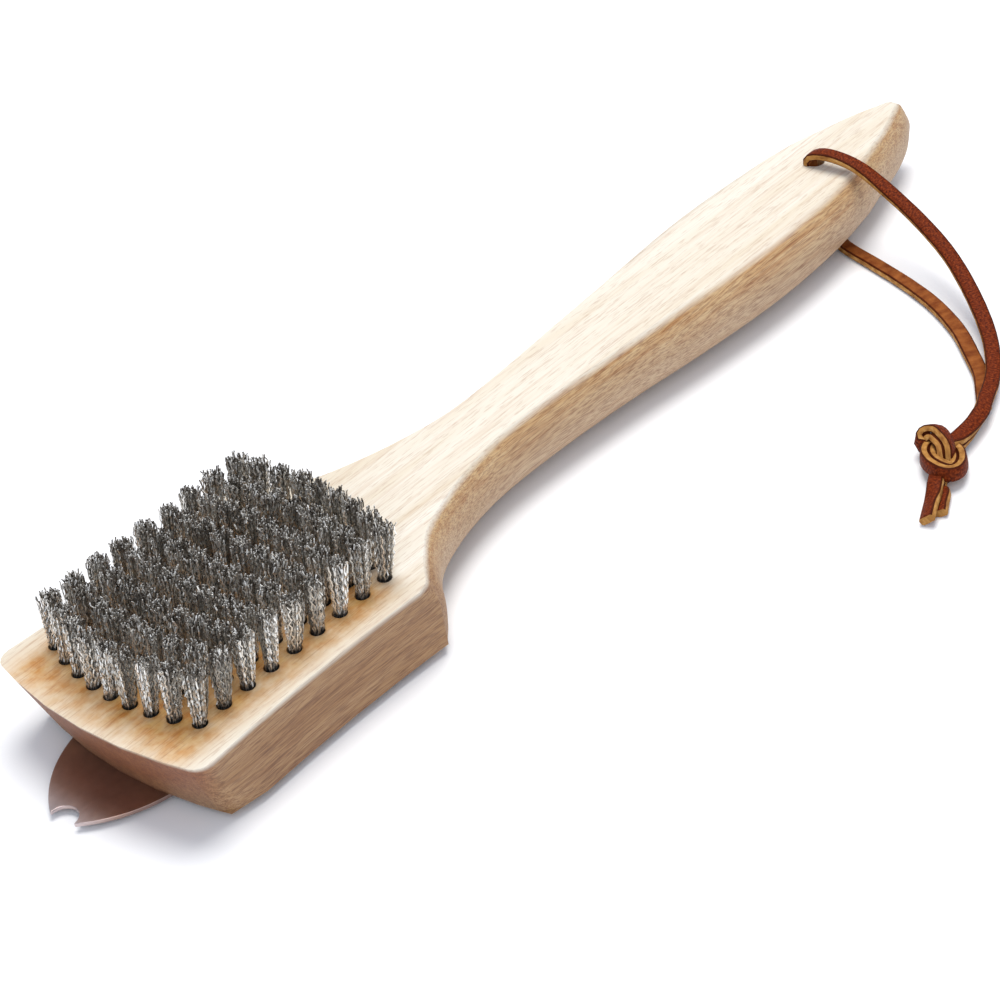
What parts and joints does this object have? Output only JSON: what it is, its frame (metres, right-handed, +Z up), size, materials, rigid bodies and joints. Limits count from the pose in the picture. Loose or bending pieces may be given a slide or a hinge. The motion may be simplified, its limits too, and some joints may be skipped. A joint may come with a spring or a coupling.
{
  "type": "grill cleaning brush",
  "caption": "Grill cleaning brush lying bristles up: one-piece wooden head and handle, steel wire tufts, notched scraper plate, knotted leather lace.",
  "frame": {"origin": "middle of the rigid brush's footprint, on the surface it lies on, without the lace", "axes": "+X from the head to the handle tip, +Y to the left of the brush seen from the handle with the bristles up, +Z up with the bristles pointing up"},
  "size_m": [0.3053, 0.1335, 0.0358],
  "materials": {
    "wood": "bare sanded pale hardwood",
    "bristle": "crimped stainless wire",
    "anchor": "zinc plated flat wire",
    "scraper": "rolled stainless sheet",
    "screw": "zinc plated",
    "leather": "waxed red brown grain with raw tan edges"
  },
  "bodies": {
    "root": {"wood_body": "wood", "tuft_row_1": "bristle", "tuft_row_2": "bristle", "tuft_row_3": "bristle", "tuft_row_4": "bristle", "tuft_row_5": "bristle", "tuft_row_6": "bristle", "tuft_row_7": "bristle", "tuft_row_8": "bristle", "tuft_row_9": "bristle", "tuft_anchors_1": "anchor", "tuft_anchors_2": "anchor", "tuft_anchors_3": "anchor", "tuft_anchors_4": "anchor", "tuft_anchors_5": "anchor", "tuft_anchors_6": "anchor", "tuft_anchors_7": "anchor", "tuft_anchors_8": "anchor", "tuft_anchors_9": "anchor", "scraper_plate": "scraper", "scraper_screws": "screw", "lace": "leather", "lace_knot": "leather", "lace_tails": "leather"}
  },
  "joints": []
}
